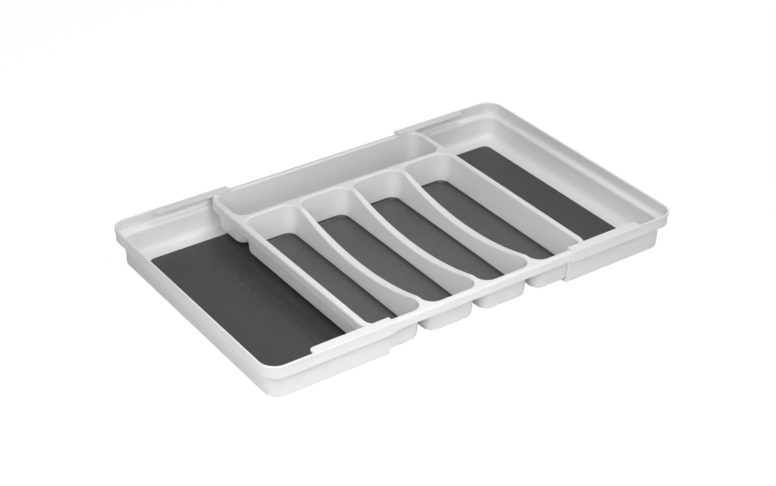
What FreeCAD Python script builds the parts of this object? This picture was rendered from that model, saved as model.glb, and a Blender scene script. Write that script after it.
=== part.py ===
import FreeCAD, Part
import math
import os
from collections import namedtuple

import Sketcher

# Expandable cutlery tray: a centre tray with five lined compartments, and two extension
# trays that slide out from under its rim on the left and on the right.
# The tray stands on z = 0, x runs along its width, y to its back, and it is drawn fully open.

# Driving sizes, in millimetres and degrees
SIZES = {
    # the whole tray, drawn open
    "overall_width": 600.0,
    "overall_depth": 375.0,
    "overall_height": 51.0,
    "slide_clearance": 0.3,
    # extension trays
    "slide_overlap": 32.5,
    "extension_wall": 1.8,
    "extension_floor": 2.0,
    "extension_draft": 2.5,
    "extension_floor_radius": 8.0,
    "extension_bottom_radius": 2.5,
    "rim_overhang": 1.2,
    "rim_height": 3.0,
    "rim_corner_radius": 23.0,
    "rim_edge_radius": 0.9,
    "ledge_height": 35.6,
    "ledge_width": 7.5,
    "ledge_edge_radius": 5.0,
    "ledge_root_radius": 1.0,
    "step_edge_radius": 1.5,
    "lower_corner_radius": 18.0,
    "lip_end_margin": 60.0,
    "lip_reach": 10.0,
    "lip_thickness": 2.0,
    "lip_corner_radius": 6.0,
    "stop_length": 3.0,
    "stop_height": 0.7,
    # centre tray
    "center_width": 329.0,
    "center_wall": 1.8,
    "center_draft": 5.0,
    "center_lift": 0.9,
    "tub_clearance": 0.35,
    "center_rim_edge_radius": 3.0,
    "apron_edge_radius": 0.6,
    "compartment_corner_radius": 16.0,
    "compartment_edge_radius": 2.2,
    "compartment_floor_radius": 3.0,
    "back_compartment_depth": 62.4,
    "divider_width": 7.0,
    "dish_depth": 18.5,
    "dish_run_out": 4.5,
    "dish_blend_radius": 20.0,
    # soft liners
    "liner_thickness": 1.0,
    "liner_clearance": 0.15,
    "compartment_liner_height": 4.0,
    "liner_bend_radius": 4.0,
    "extension_liner_inlay": 0.5,
    "extension_liner_margin": 33.5,
    "extension_liner_end_margin": 4.0,
    "extension_liner_radius": 10.0,
    # rubber feet
    "foot_diameter": 12.0,
    "foot_height": 1.0,
    "foot_seat_depth": 0.6,
    "foot_edge_radius": 0.4,
    "foot_clearance": 0.1,
    "foot_inset": 45.0,
    "foot_end_inset": 20.0,
}

COMPARTMENTS_IN_FRONT = 4
SIDES = {"left": -1, "right": 1}
MATCH = 0.01

document = FreeCAD.newDocument("CutleryTray")
sheet = document.addObject("Spreadsheet::Sheet", "Sizes")
for row, (alias, number) in enumerate(SIZES.items(), start=1):
    sheet.set(f"A{row}", alias)
    sheet.set(f"B{row}", str(number))
    sheet.setAlias(f"B{row}", alias)
document.recompute()


class Size:
    """A size as its value and as the formula that ties it to the sheet."""

    def __init__(self, value, formula):
        self.value = value
        self.formula = formula

    def __add__(self, other):
        return Size(self.value + other.value, f"({self.formula} + {other.formula})")

    def __sub__(self, other):
        return Size(self.value - other.value, f"({self.formula} - {other.formula})")

    def __mul__(self, factor):
        return Size(self.value * factor, f"({self.formula} * {factor})")

    def __truediv__(self, divisor):
        return Size(self.value / divisor, f"({self.formula} / {divisor})")

    def __neg__(self):
        return Size(-self.value, f"(0 - {self.formula})")


Outline = namedtuple("Outline", "left right front back radius")


def size(alias):
    return Size(float(sheet.get(alias)), f"{sheet.Name}.{alias}")


def bind(target, path, amount):
    target.setExpression(path, amount.formula)


def lean(draft, height):
    """How far a drafted wall comes in over a height."""
    slope = math.tan(math.radians(draft.value))
    return Size(height.value * slope, f"({height.formula} * tan({draft.formula}))")


def arc_radius(half_chord, sag):
    """Radius of the arc that sags below the middle of a chord."""
    value = (half_chord.value**2 + sag.value**2) / (2 * sag.value)
    return Size(value, f"(({half_chord.formula}^2 + {sag.formula}^2) / (2 * {sag.formula}))")


def offset(outline, amount):
    """The outline moved outwards, with its corners still round the same centres."""
    return Outline(
        outline.left - amount,
        outline.right + amount,
        outline.front - amount,
        outline.back + amount,
        outline.radius + amount,
    )


def inset(outline, amount):
    return offset(outline, -amount)


def mirrored_span(side, inner, outer):
    """Left and right limits of a stretch that lies on one side of the middle."""
    return (inner, outer) if side > 0 else (-outer, -inner)


def new_body(label):
    body = document.addObject("PartDesign::Body", label)
    body.Label = label
    return body


def new_sketch(body, name, role, height=None):
    """A sketch on one of the body's own planes, raised to a height above it."""
    sketch = body.newObject("Sketcher::SketchObject", f"{body.Name}_{name}_sketch")
    plane = next(item for item in body.Origin.OriginFeatures if item.Role == role)
    sketch.AttachmentSupport = [(plane, "")]
    sketch.MapMode = "FlatFace"
    if height is not None:
        bind(sketch, "AttachmentOffset.Base.z", height)
    return sketch


def set_distance(sketch, kind, item, point, amount):
    """Hold a point of the sketch at a signed distance from the origin along one axis."""
    origin = (-1, 1)
    held = (item, point)
    ends = origin + held if amount.value >= 0 else held + origin
    shown = amount if amount.value >= 0 else -amount
    index = sketch.addConstraint(Sketcher.Constraint(kind, *ends, shown.value))
    bind(sketch, f"Constraints[{index}]", shown)


def set_radius(sketch, kind, item, amount):
    index = sketch.addConstraint(Sketcher.Constraint(kind, item, amount.value))
    bind(sketch, f"Constraints[{index}]", amount)


def draw_rounded_rectangle(sketch, outline):
    """Four straight sides with a tangent arc at each corner."""
    left, right, front, back, radius = (amount.value for amount in outline)
    up = FreeCAD.Vector(0, 0, 1)
    middles = [
        (right - radius, front + radius),
        (right - radius, back - radius),
        (left + radius, back - radius),
        (left + radius, front + radius),
    ]
    quarter = math.pi / 2
    arcs = []
    for corner, (x, y) in enumerate(middles):
        circle = Part.Circle(FreeCAD.Vector(x, y, 0), up, radius)
        start = (corner - 1) * quarter
        arcs.append(sketch.addGeometry(Part.ArcOfCircle(circle, start, start + quarter), False))
    sides = []
    for arc, following in zip(arcs, arcs[1:] + arcs[:1]):
        side = Part.LineSegment(sketch.getPoint(arc, 2), sketch.getPoint(following, 1))
        line = sketch.addGeometry(side, False)
        sides.append(line)
        sketch.addConstraint(Sketcher.Constraint("Tangent", arc, 2, line, 1))
        sketch.addConstraint(Sketcher.Constraint("Tangent", line, 2, following, 1))
    for arc in arcs[1:]:
        sketch.addConstraint(Sketcher.Constraint("Equal", arcs[0], arc))
    set_radius(sketch, "Radius", arcs[0], outline.radius)
    hold_sides(sketch, sides, outline)


def draw_rectangle(sketch, left, right, front, back):
    """Four straight sides with square corners."""
    corners = [(right, front), (right, back), (left, back), (left, front)]
    points = [FreeCAD.Vector(x.value, y.value, 0) for x, y in corners]
    sides = []
    for start, end in zip(points, points[1:] + points[:1]):
        sides.append(sketch.addGeometry(Part.LineSegment(start, end), False))
    for side, following in zip(sides, sides[1:] + sides[:1]):
        sketch.addConstraint(Sketcher.Constraint("Coincident", side, 2, following, 1))
    hold_sides(sketch, sides, Outline(left, right, front, back, None))


def hold_sides(sketch, sides, outline):
    """Place the right, back, left and front sides of a rectangle."""
    right, back, left, front = sides
    for side in (right, left):
        sketch.addConstraint(Sketcher.Constraint("Vertical", side))
    for side in (back, front):
        sketch.addConstraint(Sketcher.Constraint("Horizontal", side))
    set_distance(sketch, "DistanceX", right, 1, outline.right)
    set_distance(sketch, "DistanceX", left, 1, outline.left)
    set_distance(sketch, "DistanceY", back, 1, outline.back)
    set_distance(sketch, "DistanceY", front, 1, outline.front)


def draw_circle(sketch, x, y, diameter):
    middle = FreeCAD.Vector(x.value, y.value, 0)
    circle = Part.Circle(middle, FreeCAD.Vector(0, 0, 1), diameter.value / 2)
    item = sketch.addGeometry(circle, False)
    set_radius(sketch, "Diameter", item, diameter)
    set_distance(sketch, "DistanceX", item, 3, x)
    set_distance(sketch, "DistanceY", item, 3, y)


def draw_sagging_segment(sketch, middle, top, sag, radius):
    """A level line with an arc hanging below it."""
    height = top - sag + radius
    half = math.sqrt(radius.value**2 - (radius.value - sag.value) ** 2)
    circle = Part.Circle(
        FreeCAD.Vector(middle.value, height.value, 0), FreeCAD.Vector(0, 0, 1), radius.value
    )
    swing = math.asin(half / radius.value)
    lowest = -math.pi / 2
    arc = sketch.addGeometry(Part.ArcOfCircle(circle, lowest - swing, lowest + swing), False)
    level = Part.LineSegment(sketch.getPoint(arc, 2), sketch.getPoint(arc, 1))
    line = sketch.addGeometry(level, False)
    sketch.addConstraint(Sketcher.Constraint("Coincident", arc, 2, line, 1))
    sketch.addConstraint(Sketcher.Constraint("Coincident", line, 2, arc, 1))
    sketch.addConstraint(Sketcher.Constraint("Horizontal", line))
    set_radius(sketch, "Radius", arc, radius)
    set_distance(sketch, "DistanceX", arc, 3, middle)
    set_distance(sketch, "DistanceY", arc, 3, height)
    set_distance(sketch, "DistanceY", line, 1, top)


def volume_of(body):
    return body.Tip.Shape.Volume if body.Tip is not None else 0.0


def extrude(body, kind, name, sketch, length, reverse, draft, both_ways):
    """Extrude a sketch from its plane, and return the volume gained."""
    before = volume_of(body)
    feature = body.newObject(f"PartDesign::{kind}", f"{body.Name}_{name}")
    feature.Profile = sketch
    feature.Reversed = reverse
    feature.Refine = True
    if both_ways:
        feature.SideType = "Symmetric"
    bind(feature, "Length", length)
    if draft is not None:
        bind(feature, "TaperAngle", -draft)
    document.recompute()
    return feature.Shape.Volume - before


def pad(body, name, sketch, length, up=True, draft=None, both_ways=False):
    if extrude(body, "Pad", name, sketch, length, not up, draft, both_ways) <= 0:
        raise RuntimeError(f"{body.Name}: {name} adds nothing")


def pocket(body, name, sketch, depth, up=False, draft=None, both_ways=False):
    if extrude(body, "Pocket", name, sketch, depth, up, draft, both_ways) >= 0:
        raise RuntimeError(f"{body.Name}: {name} cuts nothing")


def round_edges(body, name, radius, chosen):
    """Round the edges of the body so far that a test picks."""
    base = body.Tip
    edges = enumerate(base.Shape.Edges, start=1)
    picked = [f"Edge{index}" for index, edge in edges if chosen(edge.BoundBox)]
    if not picked:
        raise RuntimeError(f"{body.Name}: {name} finds no edge")
    feature = body.newObject("PartDesign::Fillet", f"{body.Name}_{name}")
    feature.Base = (base, picked)
    feature.Refine = True
    bind(feature, "Radius", radius)
    document.recompute()
    if not feature.isValid():
        raise RuntimeError(f"{body.Name}: {name} cannot be rounded")


def near(first, second):
    return abs(first - second) < MATCH


def level_at(height):
    """Picks the edges that lie flat at a height."""
    return lambda box: near(box.ZMin, height.value) and near(box.ZMax, height.value)


def within(box, outline):
    return (
        box.XMin > outline.left.value - MATCH
        and box.XMax < outline.right.value + MATCH
        and box.YMin > outline.front.value - MATCH
        and box.YMax < outline.back.value + MATCH
    )


# Heights above the surface that the tray stands on
tray_top = size("overall_height")
ledge_top = size("ledge_height")
extension_underside = size("foot_height")
extension_floor_top = extension_underside + size("extension_floor")
extension_liner_underside = extension_floor_top - size("extension_liner_inlay")
extension_liner_top = extension_liner_underside + size("liner_thickness")
center_underside = extension_liner_top + size("center_lift")
center_floor_top = center_underside + size("center_wall")
center_top = tray_top - size("lip_thickness") - size("slide_clearance")
apron_bottom = ledge_top + size("slide_clearance")

# Outlines of the extension trays, each drawn as a whole tray of which one end is kept
half_width = size("overall_width") / 2
half_depth = size("overall_depth") / 2
center_half_width = size("center_width") / 2
open_end = center_half_width - size("slide_overlap")
rim_outline = Outline(-half_width, half_width, -half_depth, half_depth, size("rim_corner_radius"))
band_outline = inset(rim_outline, size("rim_overhang"))
band_inside = inset(band_outline, size("extension_wall"))
lower_inside = inset(band_inside, size("ledge_width"))._replace(radius=size("lower_corner_radius"))
lower_outline = offset(lower_inside, size("extension_wall"))

# Outlines of the centre tray and of the openings of its compartments. Its rim is as wide as
# it takes for the leaning tubs to pass between the ledges.
center_half_depth = band_inside.back - size("slide_clearance")
opening_radius = size("compartment_corner_radius")
tub_reach = lower_inside.back - size("tub_clearance")
tub_lean = lean(size("center_draft"), center_top - ledge_top)
center_rim_width = center_half_depth - tub_reach + size("center_wall") - tub_lean
center_outline = Outline(
    -center_half_width,
    center_half_width,
    -center_half_depth,
    center_half_depth,
    opening_radius + center_rim_width,
)
openings_limit = inset(center_outline, center_rim_width)
back_opening = openings_limit._replace(front=openings_limit.back - size("back_compartment_depth"))
front_row_back = back_opening.front - size("divider_width")
dividers = COMPARTMENTS_IN_FRONT - 1
front_opening_width = (
    openings_limit.right - openings_limit.left - size("divider_width") * dividers
) / COMPARTMENTS_IN_FRONT
compartment_pitch = front_opening_width + size("divider_width")
front_openings = []
for place in range(COMPARTMENTS_IN_FRONT):
    opening_left = openings_limit.left + compartment_pitch * place
    front_openings.append(
        Outline(
            opening_left,
            opening_left + front_opening_width,
            openings_limit.front,
            front_row_back,
            opening_radius,
        )
    )
all_openings = front_openings + [back_opening]

# The stop near each extension's open end meets a shoulder of the centre tray's apron
stop_end = open_end + size("stop_length")
shoulder = stop_end + size("slide_clearance")


def build_center_tray():
    """One moulding: a rim with an apron, and five tubs that hang from it."""
    body = new_body("center_tray")
    wall = size("center_wall")

    sketch = new_sketch(body, "rim", "XY_Plane", apron_bottom)
    draw_rounded_rectangle(sketch, center_outline)
    pad(body, "rim", sketch, center_top - apron_bottom)
    round_edges(body, "rim_edge", size("center_rim_edge_radius"), level_at(center_top))
    round_edges(body, "apron_edge", size("apron_edge_radius"), level_at(apron_bottom))

    sketch = new_sketch(body, "apron_hollow", "XY_Plane", apron_bottom)
    draw_rounded_rectangle(sketch, inset(center_outline, wall))
    pocket(body, "apron_hollow", sketch, center_top - apron_bottom - wall, up=True)

    sketch = new_sketch(body, "tubs", "XY_Plane", center_top)
    for opening in all_openings:
        draw_rounded_rectangle(sketch, offset(opening, wall))
    draft = size("center_draft")
    pad(body, "tubs", sketch, center_top - center_underside, up=False, draft=draft)

    build_dividers(body)

    sketch = new_sketch(body, "compartments", "XY_Plane", center_top)
    for opening in all_openings:
        draw_rounded_rectangle(sketch, opening)
    pocket(body, "compartments", sketch, center_top - center_floor_top, draft=draft)
    floor_radius = size("compartment_floor_radius")
    round_edges(body, "compartment_floors", floor_radius, level_at(center_floor_top))
    round_edges(body, "tub_bottoms", floor_radius + wall, level_at(center_underside))
    round_edges(body, "compartment_edges", size("compartment_edge_radius"), is_compartment_edge)

    sketch = new_sketch(body, "stop_relief", "XY_Plane", apron_bottom)
    outer = center_half_depth + wall / 2
    inner = center_half_depth - wall * 2
    draw_rectangle(sketch, -shoulder, shoulder, -outer, -inner)
    draw_rectangle(sketch, -shoulder, shoulder, inner, outer)
    pocket(body, "stop_relief", sketch, size("stop_height"), up=True)
    return body


def build_dividers(body):
    """Bridge the gaps between the front tubs, and dish the tops of the dividers."""
    wall = size("center_wall")
    middle = (openings_limit.front + front_row_back) / 2
    reach = compartment_pitch * (COMPARTMENTS_IN_FRONT - 1)
    half_length = (front_row_back - openings_limit.front) / 2
    sag = size("dish_depth")
    radius = arc_radius(half_length - opening_radius - size("dish_run_out"), sag)

    sketch = new_sketch(body, "divider_bridge", "YZ_Plane")
    draw_sagging_segment(sketch, middle, center_top, sag + wall, radius + wall)
    pad(body, "divider_bridge", sketch, reach, both_ways=True)

    sketch = new_sketch(body, "divider_dish", "YZ_Plane")
    draw_sagging_segment(sketch, middle, center_top, sag, radius)
    pocket(body, "divider_dish", sketch, reach, both_ways=True)

    def is_dish_end(box):
        return level_at(center_top)(box) and near(box.XLength, reach.value)

    round_edges(body, "dish_blend", size("dish_blend_radius"), is_dish_end)


def is_compartment_edge(box):
    """Picks the rims of the compartments: level stretches, and the dished divider tops."""
    lowest = center_top.value - size("dish_depth").value
    across_divider = near(box.XLength, size("divider_width").value) and near(box.YLength, 0)
    level = level_at(center_top)(box) and not across_divider
    dished = (
        box.ZMin > lowest - MATCH
        and box.ZMax < center_top.value + MATCH
        and box.ZLength > MATCH
        and box.XLength < size("divider_width").value / 2
    )
    return (level or dished) and within(box, openings_limit)


def build_extension(label, side):
    """A three-sided stepped tray with lips that hold the centre tray's rim down."""
    body = new_body(label)
    wall = size("extension_wall")
    draft = size("extension_draft")
    step_underside = ledge_top - wall

    sketch = new_sketch(body, "lower_tray", "XY_Plane", ledge_top)
    draw_rounded_rectangle(sketch, lower_outline)
    pad(body, "lower_tray", sketch, ledge_top - extension_underside, up=False, draft=draft)

    sketch = new_sketch(body, "band", "XY_Plane", step_underside)
    draw_rounded_rectangle(sketch, band_outline)
    pad(body, "band", sketch, tray_top - step_underside)

    def is_step_edge(box):
        return level_at(step_underside)(box) and not within(box, lower_outline)

    round_edges(body, "step_edge", size("step_edge_radius"), is_step_edge)

    rim_underside = tray_top - size("rim_height")
    sketch = new_sketch(body, "rim", "XY_Plane", rim_underside)
    draw_rounded_rectangle(sketch, rim_outline)
    pad(body, "rim", sketch, size("rim_height"))

    sketch = new_sketch(body, "band_inside", "XY_Plane", tray_top)
    draw_rounded_rectangle(sketch, band_inside)
    pocket(body, "band_inside", sketch, tray_top - ledge_top)
    round_edges(body, "rim_edges", size("rim_edge_radius"), level_at(tray_top))

    sketch = new_sketch(body, "lower_inside", "XY_Plane", ledge_top)
    draw_rounded_rectangle(sketch, lower_inside)
    pocket(body, "lower_inside", sketch, ledge_top - extension_floor_top, draft=draft)
    floor_radius = size("extension_floor_radius")
    round_edges(body, "floor_edge", floor_radius, level_at(extension_floor_top))
    bottom_radius = size("extension_bottom_radius")
    round_edges(body, "bottom_edge", bottom_radius, level_at(extension_underside))

    def is_ledge_edge(box):
        return level_at(ledge_top)(box) and within(box, lower_inside)

    def is_ledge_root(box):
        return level_at(ledge_top)(box) and not within(box, lower_inside)

    round_edges(body, "ledge_root", size("ledge_root_radius"), is_ledge_root)
    round_edges(body, "ledge_edge", size("ledge_edge_radius"), is_ledge_edge)

    sketch = new_sketch(body, "open_end", "XY_Plane", -wall)
    beyond = offset(rim_outline, wall)
    left, right = mirrored_span(side, beyond.left, open_end)
    draw_rectangle(sketch, left, right, beyond.front, beyond.back)
    pocket(body, "open_end", sketch, tray_top + wall * 2, up=True)

    build_lips(body, side)
    build_stops(body, side)
    build_seats(body, side)
    return body


def build_lips(body, side):
    """Flat strips, level with the rim, that reach over the centre tray's rim."""
    outer = band_outline.back
    inner = band_inside.back - size("lip_reach")
    end = half_width - size("lip_end_margin")
    left, right = mirrored_span(side, open_end, end)
    underside = tray_top - size("lip_thickness")
    sketch = new_sketch(body, "lips", "XY_Plane", underside)
    draw_rectangle(sketch, left, right, -outer, -inner)
    draw_rectangle(sketch, left, right, inner, outer)
    pad(body, "lips", sketch, size("lip_thickness"))

    def is_lip_corner(box):
        upright = near(box.ZLength, size("lip_thickness").value)
        at_end = near(box.XMin, side * end.value) and near(box.XMax, side * end.value)
        return upright and at_end and near(abs(box.Center.y), inner.value)

    round_edges(body, "lip_corners", size("lip_corner_radius"), is_lip_corner)


def build_stops(body, side):
    """Low bumps on the ledges, which the apron's shoulders meet when the tray is drawn open."""
    wall = size("extension_wall")
    left, right = mirrored_span(side, open_end, stop_end)
    outer = band_inside.back + wall / 2
    inner = center_half_depth - size("center_wall") - size("slide_clearance")
    sketch = new_sketch(body, "stops", "XY_Plane", ledge_top - wall / 2)
    draw_rectangle(sketch, left, right, -outer, -inner)
    draw_rectangle(sketch, left, right, inner, outer)
    pad(body, "stops", sketch, wall / 2 + size("stop_height"))


def extension_liner_outline(side):
    """Outline of the soft mat that is let into an extension's floor."""
    margin = size("extension_liner_margin")
    inner = open_end + size("extension_liner_end_margin")
    left, right = mirrored_span(side, inner, rim_outline.right - margin)
    front = rim_outline.front + margin
    back = rim_outline.back - margin
    return Outline(left, right, front, back, size("extension_liner_radius"))


def foot_places(side):
    """Name and middle of each of the four feet under an extension."""
    inner = open_end + size("foot_end_inset")
    outer = half_width - size("foot_inset")
    across = half_depth - size("foot_inset")
    return {
        "front_inner": (inner * side, -across),
        "front_outer": (outer * side, -across),
        "back_inner": (inner * side, across),
        "back_outer": (outer * side, across),
    }


def build_seats(body, side):
    """Shallow recesses in the floor: one for the liner, and one under each foot."""
    sketch = new_sketch(body, "liner_recess", "XY_Plane", extension_floor_top)
    recess = offset(extension_liner_outline(side), size("liner_clearance"))
    draw_rounded_rectangle(sketch, recess)
    pocket(body, "liner_recess", sketch, size("extension_liner_inlay"))

    sketch = new_sketch(body, "foot_seats", "XY_Plane", extension_underside)
    for x, y in foot_places(side).values():
        draw_circle(sketch, x, y, size("foot_diameter") + size("foot_clearance") * 2)
    pocket(body, "foot_seats", sketch, size("foot_seat_depth"), up=True)


def build_compartment_liner(label, opening):
    """A shallow soft dish that lies on a compartment's floor and climbs its rounded edge."""
    body = new_body(label)
    draft = size("center_draft")
    thickness = size("liner_thickness")
    floor_radius = size("compartment_floor_radius")
    bend_radius = size("liner_bend_radius")
    stock_height = (bend_radius + thickness) * 2
    stock_top = center_floor_top + stock_height
    drawn_in = lean(draft, center_top - stock_top) + size("liner_clearance")
    outside = inset(opening, drawn_in)

    sketch = new_sketch(body, "outside", "XY_Plane", stock_top)
    draw_rounded_rectangle(sketch, outside)
    pad(body, "outside", sketch, stock_height, up=False, draft=draft)

    sketch = new_sketch(body, "inside", "XY_Plane", stock_top)
    draw_rounded_rectangle(sketch, inset(outside, thickness))
    pocket(body, "inside", sketch, stock_height - thickness, draft=draft)
    dish_floor = center_floor_top + thickness
    round_edges(body, "inside_edge", bend_radius, level_at(dish_floor))
    round_edges(body, "outside_edge", floor_radius, level_at(center_floor_top))

    sketch = new_sketch(body, "trim", "XY_Plane", stock_top)
    draw_rectangle(sketch, *offset(outside, thickness)[:4])
    pocket(body, "trim", sketch, stock_height - size("compartment_liner_height"))
    return body


def build_extension_liner(label, side):
    """A flat soft mat, half let into an extension's floor."""
    body = new_body(label)
    sketch = new_sketch(body, "mat", "XY_Plane", extension_liner_underside)
    draw_rounded_rectangle(sketch, extension_liner_outline(side))
    pad(body, "mat", sketch, size("liner_thickness"))
    return body


def build_foot(label, x, y):
    """A round rubber pad, set into its seat."""
    body = new_body(label)
    underside = extension_underside - size("foot_height")
    sketch = new_sketch(body, "pad", "XY_Plane", underside)
    draw_circle(sketch, x, y, size("foot_diameter"))
    pad(body, "pad", sketch, size("foot_height") + size("foot_seat_depth"))
    round_edges(body, "pad_edge", size("foot_edge_radius"), level_at(underside))
    return body


def build_tray():
    """All the sub-parts of the tray."""
    parts = [build_center_tray()]
    for place, opening in enumerate(front_openings, start=1):
        parts.append(build_compartment_liner(f"compartment_liner_{place}", opening))
    parts.append(build_compartment_liner("back_compartment_liner", back_opening))
    for name, side in SIDES.items():
        parts.append(build_extension(f"{name}_extension", side))
        parts.append(build_extension_liner(f"{name}_extension_liner", side))
        for place, (x, y) in foot_places(side).items():
            parts.append(build_foot(f"{name}_{place}_foot", x, y))
    return parts


def check(parts):
    """Stop unless every object is sound and every sub-part is one valid solid."""
    document.recompute()
    for item in document.Objects:
        if "Invalid" in item.State or "Error" in item.State:
            raise RuntimeError(f"{item.Label} failed: {item.State}")
    for part in parts:
        if part.Shape.isNull() or not part.Shape.isValid() or len(part.Shape.Solids) != 1:
            raise RuntimeError(f"{part.Label} is not one valid solid")


def write(parts):
    os.makedirs("parts", exist_ok=True)
    for part in parts:
        part.Shape.exportStep(f"parts/{part.Label}.step")


sub_parts = build_tray()
check(sub_parts)
write(sub_parts)
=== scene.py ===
import math

import bmesh
import bpy
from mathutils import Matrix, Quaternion, Vector


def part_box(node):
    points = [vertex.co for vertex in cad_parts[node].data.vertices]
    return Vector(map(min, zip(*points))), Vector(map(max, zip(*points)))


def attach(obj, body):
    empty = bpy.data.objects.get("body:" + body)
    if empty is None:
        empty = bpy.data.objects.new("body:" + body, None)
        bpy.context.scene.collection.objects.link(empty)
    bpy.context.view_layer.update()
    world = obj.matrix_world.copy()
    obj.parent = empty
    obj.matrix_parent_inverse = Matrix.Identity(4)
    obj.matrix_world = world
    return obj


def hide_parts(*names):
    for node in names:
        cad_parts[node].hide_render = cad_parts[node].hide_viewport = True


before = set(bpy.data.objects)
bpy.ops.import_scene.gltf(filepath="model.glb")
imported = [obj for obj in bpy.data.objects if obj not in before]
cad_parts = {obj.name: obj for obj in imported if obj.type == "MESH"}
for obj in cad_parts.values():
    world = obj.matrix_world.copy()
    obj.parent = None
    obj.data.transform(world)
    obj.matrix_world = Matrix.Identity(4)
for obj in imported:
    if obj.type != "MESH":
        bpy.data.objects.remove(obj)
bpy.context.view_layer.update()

# Expandable cutlery tray in satin white plastic, with soft dark liners in its compartments
# and mats in its bays. Sizes are in metres.

CENTER = "center_section"
SECTIONS = {"left": "left_section", "right": "right_section"}
FRONT_LINERS = [f"compartment_liner_{place}" for place in range(1, 5)]
BACK_LINER = "back_compartment_liner"

# Camera
CAMERA_PLACE = (-1.0459, -1.4569, 1.1244)
CAMERA_AZIMUTH = -35.417
CAMERA_ELEVATION = 31.761
CAMERA_ROLL = 0.537
CAMERA_LENS = 78.12

# Compartment liners: a sheet that curves up to a rounded edge along the leaning walls
LINER_SHEET = 0.001
LINER_BEND = 0.0038
LINER_FOOT = 0.003
LINER_EDGE = 0.00045
LINER_CORNER = 0.0125
WALL_LEAN = math.radians(5.0)
# Heights between which painted shade darkens the colour of the liners' raised edge
LINER_SHADE_FROM = 0.00722
LINER_SHADE_TO = 0.0077

# Flat mats in the bays, and the flat liner of the back compartment
MAT_CORNER = 0.010
MAT_EDGE = 0.0003
BACK_LINER_CORNER = 0.0094
BACK_LINER_MARGIN = 0.0031

# Raised dots on the liners and the mats
DOT_RADIUS = 0.0015
COMPARTMENT_DOT_HEIGHT = 0.00115
BAY_DOT_HEIGHT = 0.00085
DOT_SINK = 0.0002
DOT_ROOT = 0.0004
COMPARTMENT_PITCH = Vector((0.0144, 0.0141))
BAY_PITCH = Vector((0.0156, 0.0154))
COMPARTMENT_DOTS = (4, 18)
BACK_DOTS = (20, 3)
BAY_DOTS = (8, 20)

# First dot of each field: its x from the compartment's middle or from the tray's, and its y
COMPARTMENT_FIRST_DOT = (-0.0188, -0.1561)
BACK_FIRST_DOT_X = -0.1368
BAY_FIRST_DOT_X = {"left": -0.2596, "right": 0.1422}
BAY_FIRST_DOT_Y = -0.1440

# Steps round a corner, along a liner's bends and round an edge
CORNER_STEPS = 10
BEND_STEPS = 10
EDGE_STEPS = 4

# Floor and background
FLOOR_REACH = 6.0
FLOOR_COLOUR = (0.9, 0.9, 0.9, 1.0)
FLOOR_GLOW = 1.05
FLOOR_GLOW_SHARE = 0.92
MIRRORED_WORLD = 0.8


def new_material(name):
    """A material with an empty Principled shader, and that shader."""
    material = bpy.data.materials.new(name)
    material.use_nodes = True
    shader = material.node_tree.nodes["Principled BSDF"]
    return material, shader


def add_node(tree, kind, **settings):
    """A node of a kind in a tree, with its settings."""
    node = tree.nodes.new(kind)
    for key, value in settings.items():
        setattr(node, key, value)
    return node


def make_grain_group():
    """Fine moulded grain: a slow tone, a fine height and a patchy gloss."""
    group = bpy.data.node_groups.new("moulded_grain", "ShaderNodeTree")
    interface = group.interface
    interface.new_socket("Vector", in_out="INPUT", socket_type="NodeSocketVector")
    for name in ("Tone Scale", "Grain Scale", "Gloss Scale"):
        interface.new_socket(name, in_out="INPUT", socket_type="NodeSocketFloat")
    for name in ("Tone", "Grain", "Gloss"):
        interface.new_socket(name, in_out="OUTPUT", socket_type="NodeSocketFloat")
    given = add_node(group, "NodeGroupInput")
    result = add_node(group, "NodeGroupOutput")
    for name, detail in (("Tone", 2.0), ("Grain", 3.0), ("Gloss", 4.0)):
        noise = add_node(group, "ShaderNodeTexNoise")
        noise.inputs["Detail"].default_value = detail
        group.links.new(given.outputs["Vector"], noise.inputs["Vector"])
        group.links.new(given.outputs[f"{name} Scale"], noise.inputs["Scale"])
        group.links.new(noise.outputs["Fac"], result.inputs[name])
    return group


def add_grain(tree, group, tone_scale, grain_scale, gloss_scale):
    """The grain group in a material, on the piece's own coordinates."""
    place = add_node(tree, "ShaderNodeTexCoord")
    grain = add_node(tree, "ShaderNodeGroup", node_tree=group)
    tree.links.new(place.outputs["Object"], grain.inputs["Vector"])
    grain.inputs["Tone Scale"].default_value = tone_scale
    grain.inputs["Grain Scale"].default_value = grain_scale
    grain.inputs["Gloss Scale"].default_value = gloss_scale
    return grain


def vary_colour(tree, shader, factor, dark, light):
    """Let the colour wander between two tones."""
    mix = add_node(tree, "ShaderNodeMix", data_type="RGBA")
    tree.links.new(factor, mix.inputs["Factor"])
    mix.inputs["A"].default_value = (*dark, 1.0)
    mix.inputs["B"].default_value = (*light, 1.0)
    tree.links.new(mix.outputs["Result"], shader.inputs["Base Color"])


def paint_edge_shade(tree, shader, start, end, tone):
    """Paint shade into the colour towards the raised edge, between two heights."""
    place = add_node(tree, "ShaderNodeTexCoord")
    parts = add_node(tree, "ShaderNodeSeparateXYZ")
    rise = add_node(tree, "ShaderNodeMapRange", interpolation_type="SMOOTHSTEP")
    rise.inputs["From Min"].default_value = start
    rise.inputs["From Max"].default_value = end
    mix = add_node(tree, "ShaderNodeMix", data_type="RGBA")
    mix.inputs["B"].default_value = (*tone, 1.0)
    sheet_colour = shader.inputs["Base Color"].links[0].from_socket
    tree.links.new(place.outputs["Object"], parts.inputs["Vector"])
    tree.links.new(parts.outputs["Z"], rise.inputs["Value"])
    tree.links.new(rise.outputs["Result"], mix.inputs["Factor"])
    tree.links.new(sheet_colour, mix.inputs["A"])
    tree.links.new(mix.outputs["Result"], shader.inputs["Base Color"])


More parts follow.
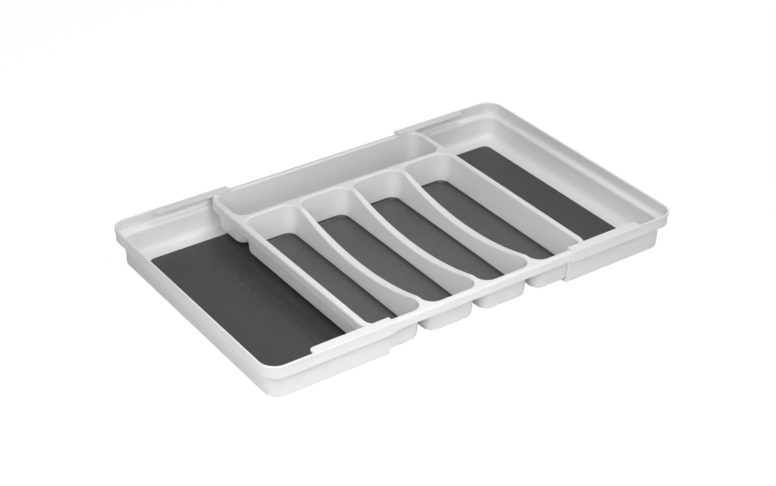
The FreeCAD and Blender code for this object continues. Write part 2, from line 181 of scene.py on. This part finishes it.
def vary_roughness(tree, shader, factor, low, high):
    """Let the roughness wander between two values."""
    spread = add_node(tree, "ShaderNodeMapRange")
    spread.inputs["To Min"].default_value = low
    spread.inputs["To Max"].default_value = high
    tree.links.new(factor, spread.inputs["Value"])
    tree.links.new(spread.outputs["Result"], shader.inputs["Roughness"])


def raise_grain(tree, shader, height, distance, strength):
    """Turn a height into fine relief."""
    bump = add_node(tree, "ShaderNodeBump")
    bump.inputs["Distance"].default_value = distance
    bump.inputs["Strength"].default_value = strength
    tree.links.new(height, bump.inputs["Height"])
    tree.links.new(bump.outputs["Normal"], shader.inputs["Normal"])


def make_white_plastic(group):
    """Satin white moulded plastic with a faint grain."""
    material, shader = new_material("satin_white_plastic")
    tree = material.node_tree
    grain = add_grain(tree, group, tone_scale=14.0, grain_scale=1800.0, gloss_scale=60.0)
    vary_colour(tree, shader, grain.outputs["Tone"], (0.79, 0.79, 0.795), (0.83, 0.83, 0.833))
    vary_roughness(tree, shader, grain.outputs["Gloss"], 0.34, 0.46)
    raise_grain(tree, shader, grain.outputs["Grain"], 0.00002, 0.25)
    return material


def make_sheet_rubber(group, name, dark, light, sheen):
    """Soft dark grey sheet with a fine leathery grain, and its shader."""
    material, shader = new_material(name)
    tree = material.node_tree
    grain = add_grain(tree, group, tone_scale=40.0, grain_scale=900.0, gloss_scale=120.0)
    vary_colour(tree, shader, grain.outputs["Tone"], dark, light)
    vary_roughness(tree, shader, grain.outputs["Gloss"], 0.36, 0.48)
    raise_grain(tree, shader, grain.outputs["Grain"], 0.00006, 0.35)
    shader.inputs["Specular IOR Level"].default_value = sheen
    return material, shader


def make_liner_rubber(group):
    """Rubber of the compartment liners, with painted shade along their raised edge."""
    dark, light = (0.054, 0.054, 0.055), (0.068, 0.068, 0.069)
    material, shader = make_sheet_rubber(group, "dark_liner_rubber", dark, light, 0.75)
    # Colour of the painted shade on the raised edge
    edge_shade_tone = (0.014, 0.014, 0.0145)
    paint_edge_shade(material.node_tree, shader, LINER_SHADE_FROM, LINER_SHADE_TO, edge_shade_tone)
    return material


def make_shaded_mat_rubber(group):
    """Rubber of the bay mats: the liners' rubber toned a little darker, as painted shade."""
    dark, light = (0.036, 0.036, 0.037), (0.046, 0.046, 0.047)
    return make_sheet_rubber(group, "mat_rubber_painted_shade", dark, light, 0.4)[0]


def make_dot_highlight_rubber(group, name, tone):
    """Rubber on the raised dots, paler than the sheet round them as a painted highlight."""
    dark = [0.9 * part for part in tone]
    light = [1.1 * part for part in tone]
    return make_sheet_rubber(group, name, dark, light, 0.5)[0]


def make_foot_rubber(group):
    """Grey rubber of the feet."""
    material, shader = new_material("grey_foot_rubber")
    tree = material.node_tree
    grain = add_grain(tree, group, tone_scale=200.0, grain_scale=2500.0, gloss_scale=400.0)
    vary_colour(tree, shader, grain.outputs["Tone"], (0.17, 0.17, 0.172), (0.22, 0.22, 0.222))
    vary_roughness(tree, shader, grain.outputs["Gloss"], 0.6, 0.75)
    raise_grain(tree, shader, grain.outputs["Grain"], 0.00005, 0.3)
    return material


def rounded_ring(low, high, corner, inset, height):
    """Points round a rectangle with rounded corners, set in from its sides."""
    turn = corner - inset
    left, front = low.x + corner, low.y + corner
    right, back = high.x - corner, high.y - corner
    points = []
    for quarter, (x, y) in enumerate([(right, back), (left, back), (left, front), (right, front)]):
        for step in range(CORNER_STEPS + 1):
            angle = math.radians(90.0 * (quarter + step / CORNER_STEPS))
            points.append((x + turn * math.cos(angle), y + turn * math.sin(angle), height))
    return points


def skin_rings(name, rings):
    """A closed mesh over a stack of rings, with the first and the last one capped."""
    shape = bmesh.new()
    loops = [[shape.verts.new(point) for point in ring] for ring in rings]
    count = len(loops[0])
    for lower, upper in zip(loops, loops[1:]):
        for here in range(count):
            there = (here + 1) % count
            shape.faces.new((lower[here], lower[there], upper[there], upper[here]))
    shape.faces.new(reversed(loops[0]))
    shape.faces.new(loops[-1])
    bmesh.ops.recalc_face_normals(shape, faces=shape.faces)
    for face in shape.faces:
        face.smooth = True
    mesh = bpy.data.meshes.new(name)
    shape.to_mesh(mesh)
    shape.free()
    return mesh


def sweep(start, end, steps):
    """Angles from start to end, both included."""
    return [start + (end - start) * step / steps for step in range(steps + 1)]


def liner_profile(low, high):
    """Inset and height of each ring: under the sheet, up outside, over the edge and down inside."""
    rise = high.z - low.z
    floor = low.z + LINER_SHEET
    lean = math.tan(WALL_LEAN)
    steep = math.pi / 2 - WALL_LEAN
    foot_middle = LINER_FOOT * math.sin(steep)
    foot_middle += (rise - LINER_FOOT * (1.0 - math.cos(steep))) * lean
    profile = []
    for angle in sweep(0.0, steep, BEND_STEPS):
        inset = foot_middle - LINER_FOOT * math.sin(angle)
        profile.append((inset, low.z + LINER_FOOT * (1.0 - math.cos(angle))))
    edge_middle = LINER_EDGE * (1.0 + lean)
    edge_height = high.z - LINER_EDGE
    slope = math.acos((LINER_BEND - (high.z - floor) + LINER_EDGE) / (LINER_BEND + LINER_EDGE))
    for angle in sweep(-math.pi / 2, slope, EDGE_STEPS * 2):
        inset = edge_middle + LINER_EDGE * math.sin(angle)
        profile.append((inset, edge_height + LINER_EDGE * math.cos(angle)))
    bend_start = edge_middle + (LINER_EDGE + LINER_BEND) * math.sin(slope)
    for angle in sweep(slope, 0.0, BEND_STEPS)[1:]:
        inset = bend_start - LINER_BEND * math.sin(angle)
        profile.append((inset, floor + LINER_BEND * (1.0 - math.cos(angle))))
    return profile


def add_piece(name, mesh, material, body):
    """A finished piece of soft liner that rides on a body."""
    piece = bpy.data.objects.new(name, mesh)
    bpy.context.scene.collection.objects.link(piece)
    mesh.materials.clear()
    mesh.materials.append(material)
    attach(piece, body)
    return piece


def make_compartment_liner(node, material):
    """A shallow dish of soft sheet that bends up along the compartment's walls."""
    low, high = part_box(node)
    profile = liner_profile(low, high)
    rings = [rounded_ring(low, high, LINER_CORNER, inset, height) for inset, height in profile]
    name = f"soft_{node}"
    piece = add_piece(name, skin_rings(name, rings), material, CENTER)
    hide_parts(node)


def make_flat_mat(node, low, high, corner, material, body):
    """A flat soft sheet with a slightly rounded edge."""
    rings = [rounded_ring(low, high, corner, 0.0, low.z)]
    for angle in sweep(0.0, math.pi / 2, EDGE_STEPS):
        inset = MAT_EDGE * (1.0 - math.cos(angle))
        height = high.z - MAT_EDGE * (1.0 - math.sin(angle))
        rings.append(rounded_ring(low, high, corner, inset, height))
    name = f"soft_{node}"
    piece = add_piece(name, skin_rings(name, rings), material, body)
    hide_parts(node)


def make_back_liner(material):
    """The back compartment's liner: it lies flat, inside the curve at the foot of the walls."""
    low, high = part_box(BACK_LINER)
    margin = Vector((BACK_LINER_MARGIN, BACK_LINER_MARGIN, 0.0))
    high.z = low.z + LINER_SHEET
    make_flat_mat(BACK_LINER, low + margin, high - margin, BACK_LINER_CORNER, material, CENTER)


def make_bay_mat(side, material):
    """A mat let into a bay's floor."""
    node = f"{side}_extension_liner"
    low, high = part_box(node)
    make_flat_mat(node, low, high, MAT_CORNER, material, SECTIONS[side])


def make_dot_tree():
    """Geometry nodes that set rows and columns of low round dots, rooted in a level sheet."""
    tree = bpy.data.node_groups.new("raised_dots", "GeometryNodeTree")
    interface = tree.interface
    interface.new_socket("Geometry", in_out="INPUT", socket_type="NodeSocketGeometry")
    for name in ("Columns", "Rows"):
        interface.new_socket(name, in_out="INPUT", socket_type="NodeSocketInt")
    for name in ("Width", "Length", "Dot Radius", "Dot Height", "Dot Base"):
        interface.new_socket(name, in_out="INPUT", socket_type="NodeSocketFloat")
    interface.new_socket("Middle", in_out="INPUT", socket_type="NodeSocketVector")
    interface.new_socket("Material", in_out="INPUT", socket_type="NodeSocketMaterial")
    interface.new_socket("Geometry", in_out="OUTPUT", socket_type="NodeSocketGeometry")
    given = add_node(tree, "NodeGroupInput")
    result = add_node(tree, "NodeGroupOutput")
    grid = add_node(tree, "GeometryNodeMeshGrid")
    place = add_node(tree, "GeometryNodeTransform")
    ball = add_node(tree, "GeometryNodeMeshUVSphere")
    ball.inputs["Segments"].default_value = 10
    ball.inputs["Rings"].default_value = 6
    ball.inputs["Radius"].default_value = 1.0
    flatten = add_node(tree, "ShaderNodeCombineXYZ")
    dot = add_node(tree, "GeometryNodeTransform")
    position = add_node(tree, "GeometryNodeInputPosition")
    parts = add_node(tree, "ShaderNodeSeparateXYZ")
    level = add_node(tree, "ShaderNodeMath", operation="MAXIMUM")
    rejoin = add_node(tree, "ShaderNodeCombineXYZ")
    cut_base = add_node(tree, "GeometryNodeSetPosition")
    smooth = add_node(tree, "GeometryNodeSetShadeSmooth")
    repeat = add_node(tree, "GeometryNodeInstanceOnPoints")
    realize = add_node(tree, "GeometryNodeRealizeInstances")
    paint = add_node(tree, "GeometryNodeSetMaterial")
    link = tree.links.new
    link(given.outputs["Width"], grid.inputs["Size X"])
    link(given.outputs["Length"], grid.inputs["Size Y"])
    link(given.outputs["Columns"], grid.inputs["Vertices X"])
    link(given.outputs["Rows"], grid.inputs["Vertices Y"])
    link(grid.outputs["Mesh"], place.inputs["Geometry"])
    link(given.outputs["Middle"], place.inputs["Translation"])
    for axis in ("X", "Y"):
        link(given.outputs["Dot Radius"], flatten.inputs[axis])
    link(given.outputs["Dot Height"], flatten.inputs["Z"])
    link(ball.outputs["Mesh"], dot.inputs["Geometry"])
    link(flatten.outputs["Vector"], dot.inputs["Scale"])
    link(position.outputs["Position"], parts.inputs["Vector"])
    link(parts.outputs["Z"], level.inputs[0])
    link(given.outputs["Dot Base"], level.inputs[1])
    for axis in ("X", "Y"):
        link(parts.outputs[axis], rejoin.inputs[axis])
    link(level.outputs["Value"], rejoin.inputs["Z"])
    link(dot.outputs["Geometry"], cut_base.inputs["Geometry"])
    link(rejoin.outputs["Vector"], cut_base.inputs["Position"])
    link(cut_base.outputs["Geometry"], smooth.inputs["Geometry"])
    link(place.outputs["Geometry"], repeat.inputs["Points"])
    link(smooth.outputs["Geometry"], repeat.inputs["Instance"])
    link(repeat.outputs["Instances"], realize.inputs["Geometry"])
    link(realize.outputs["Geometry"], paint.inputs["Geometry"])
    link(given.outputs["Material"], paint.inputs["Material"])
    link(paint.outputs["Geometry"], result.inputs["Geometry"])
    return tree


def dot_mesh(tree, first, pitch, counts, height, material):
    """Plain mesh of a field of dots, counted from its corner of lowest x and y."""
    columns, rows = counts
    carrier_mesh = bpy.data.meshes.new("dot_carrier")
    carrier = bpy.data.objects.new("dot_carrier", carrier_mesh)
    bpy.context.scene.collection.objects.link(carrier)
    modifier = carrier.modifiers.new("raised_dots", "NODES")
    modifier.node_group = tree
    width, length = pitch.x * (columns - 1), pitch.y * (rows - 1)
    values = {
        "Columns": columns,
        "Rows": rows,
        "Width": width,
        "Length": length,
        "Dot Radius": DOT_RADIUS,
        "Dot Height": height,
        "Dot Base": -DOT_ROOT,
        "Middle": first + Vector((width / 2, length / 2, -DOT_SINK)),
        "Material": material,
    }
    for item in tree.interface.items_tree:
        if item.in_out == "INPUT" and item.name in values:
            modifier[item.identifier] = values[item.name]
    graph = bpy.context.evaluated_depsgraph_get()
    mesh = bpy.data.meshes.new_from_object(carrier.evaluated_get(graph))
    bpy.data.objects.remove(carrier)
    bpy.data.meshes.remove(carrier_mesh)
    return mesh


def join_meshes(name, meshes):
    """One mesh out of several."""
    shape = bmesh.new()
    for mesh in meshes:
        shape.from_mesh(mesh)
        bpy.data.meshes.remove(mesh)
    joined = bpy.data.meshes.new(name)
    shape.to_mesh(joined)
    shape.free()
    return joined


def make_dots(liner_dot_highlighted, mat_dot_highlighted):
    """Dots on every liner: one piece for the compartments and one for each bay."""
    tree = make_dot_tree()
    pitch, height = COMPARTMENT_PITCH, COMPARTMENT_DOT_HEIGHT
    from_middle, first_y = COMPARTMENT_FIRST_DOT
    fields = []
    for node in FRONT_LINERS:
        low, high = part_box(node)
        first = Vector(((low.x + high.x) / 2 + from_middle, first_y, low.z + LINER_SHEET))
        fields.append(dot_mesh(tree, first, pitch, COMPARTMENT_DOTS, height, liner_dot_highlighted))
    low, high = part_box(BACK_LINER)
    first = Vector((BACK_FIRST_DOT_X, (low.y + high.y) / 2 - pitch.y, low.z + LINER_SHEET))
    fields.append(dot_mesh(tree, first, pitch, BACK_DOTS, height, liner_dot_highlighted))
    add_piece("compartment_dots", join_meshes("compartment_dots", fields), liner_dot_highlighted, CENTER)
    for side, first_x in BAY_FIRST_DOT_X.items():
        mat_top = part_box(f"{side}_extension_liner")[1].z
        first = Vector((first_x, BAY_FIRST_DOT_Y, mat_top))
        field = dot_mesh(tree, first, BAY_PITCH, BAY_DOTS, BAY_DOT_HEIGHT, mat_dot_highlighted)
        name = f"{side}_bay_dots"
        add_piece(name, join_meshes(name, [field]), mat_dot_highlighted, SECTIONS[side])


def make_camera():
    """The camera at the photograph's viewing angle."""
    data = bpy.data.cameras.new("camera")
    data.lens = CAMERA_LENS
    data.sensor_width = 36.0
    camera = bpy.data.objects.new("camera", data)
    azimuth, elevation = math.radians(CAMERA_AZIMUTH), math.radians(CAMERA_ELEVATION)
    ahead = Vector((
        -math.sin(azimuth) * math.cos(elevation),
        math.cos(azimuth) * math.cos(elevation),
        -math.sin(elevation),
    ))
    roll = Quaternion((0.0, 0.0, 1.0), math.radians(CAMERA_ROLL))
    camera.rotation_mode = "QUATERNION"
    camera.rotation_quaternion = ahead.to_track_quat("-Z", "Y") @ roll
    camera.location = CAMERA_PLACE
    bpy.context.scene.collection.objects.link(camera)
    bpy.context.scene.camera = camera


def make_floor():
    """A wide pale floor that looks white and still takes the tray's shadow."""
    mesh = bpy.data.meshes.new("floor")
    turns = ((-1, -1), (1, -1), (1, 1), (-1, 1))
    corners = [(x * FLOOR_REACH, y * FLOOR_REACH, 0.0) for x, y in turns]
    mesh.from_pydata(corners, [], [(0, 1, 2, 3)])
    floor = bpy.data.objects.new("floor", mesh)
    bpy.context.scene.collection.objects.link(floor)
    material = bpy.data.materials.new("white_floor")
    material.use_nodes = True
    tree = material.node_tree
    tree.nodes.clear()
    output = add_node(tree, "ShaderNodeOutputMaterial")
    diffuse = add_node(tree, "ShaderNodeBsdfDiffuse")
    diffuse.inputs["Color"].default_value = FLOOR_COLOUR
    glow = add_node(tree, "ShaderNodeEmission")
    glow.inputs["Strength"].default_value = FLOOR_GLOW
    path = add_node(tree, "ShaderNodeLightPath")
    share = add_node(tree, "ShaderNodeMath", operation="MULTIPLY")
    share.inputs[1].default_value = FLOOR_GLOW_SHARE
    mix = add_node(tree, "ShaderNodeMixShader")
    tree.links.new(path.outputs["Is Camera Ray"], share.inputs[0])
    tree.links.new(share.outputs["Value"], mix.inputs["Fac"])
    tree.links.new(diffuse.outputs["BSDF"], mix.inputs[1])
    tree.links.new(glow.outputs["Emission"], mix.inputs[2])
    tree.links.new(mix.outputs["Shader"], output.inputs["Surface"])
    mesh.materials.append(material)


def add_lamp(name, place, width, power):
    """A square soft light that is aimed at the tray."""
    data = bpy.data.lights.new(name, "AREA")
    data.shape = "SQUARE"
    data.size = width
    data.energy = power
    lamp = bpy.data.objects.new(name, data)
    lamp.location = place
    lamp.rotation_mode = "QUATERNION"
    lamp.rotation_quaternion = (-Vector(place)).to_track_quat("-Z", "Y")
    lamp.visible_camera = False
    bpy.context.scene.collection.objects.link(lamp)


def make_lights():
    """Large softboxes all round, small ones close by that fall off along the tray, and a white world."""
    add_lamp("front_softbox", (-0.2, -2.2, 1.1), 1.4, 7.4)
    add_lamp("front_left_softbox", (-1.5, -1.7, 1.1), 1.4, 8.2)
    add_lamp("left_softbox", (-2.2, -0.2, 1.1), 1.4, 8.8)
    add_lamp("right_softbox", (2.2, -0.2, 1.1), 1.4, 13.5)
    add_lamp("top_softbox", (0.45, 0.15, 1.3), 0.5, 5.2)
    add_lamp("near_front_key", (-0.18, -0.5, 0.6), 0.3, 2.6)
    add_lamp("near_left_key", (-0.62, -0.26, 0.4), 0.3, 0.75)
    world = bpy.data.worlds.new("studio")
    bpy.context.scene.world = world
    world.use_nodes = True
    tree = world.node_tree
    background = tree.nodes["Background"]
    background.inputs["Color"].default_value = (1.0, 1.0, 1.0, 1.0)
    path = add_node(tree, "ShaderNodeLightPath")
    mirrored = add_node(tree, "ShaderNodeMath", operation="MULTIPLY")
    mirrored.inputs[1].default_value = MIRRORED_WORLD
    seen = add_node(tree, "ShaderNodeMath", operation="MAXIMUM")
    tree.links.new(path.outputs["Is Glossy Ray"], mirrored.inputs[0])
    tree.links.new(path.outputs["Is Camera Ray"], seen.inputs[0])
    tree.links.new(mirrored.outputs["Value"], seen.inputs[1])
    tree.links.new(seen.outputs["Value"], background.inputs["Strength"])


def dress_tray():
    """Give every piece its material, and model the soft pieces."""
    grain = make_grain_group()
    plastic = make_white_plastic(grain)
    liner = make_liner_rubber(grain)
    mat = make_shaded_mat_rubber(grain)
    foot = make_foot_rubber(grain)
    for name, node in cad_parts.items():
        if name == "center_tray" or name.endswith("_extension"):
            node.data.materials[0] = plastic
        elif name.endswith("_foot"):
            node.data.materials[0] = foot
    for node in FRONT_LINERS:
        make_compartment_liner(node, liner)
    make_back_liner(liner)
    for side in SECTIONS:
        make_bay_mat(side, mat)
    # The dots' paler tones are painted highlights
    liner_dot_highlighted = make_dot_highlight_rubber(grain, "liner_dots_painted_highlight", (0.112, 0.112, 0.113))
    mat_dot_highlighted = make_dot_highlight_rubber(grain, "mat_dots_painted_highlight", (0.049, 0.049, 0.05))
    make_dots(liner_dot_highlighted, mat_dot_highlighted)


bpy.context.scene.view_settings.view_transform = "Standard"
dress_tray()
make_floor()
make_lights()
make_camera()
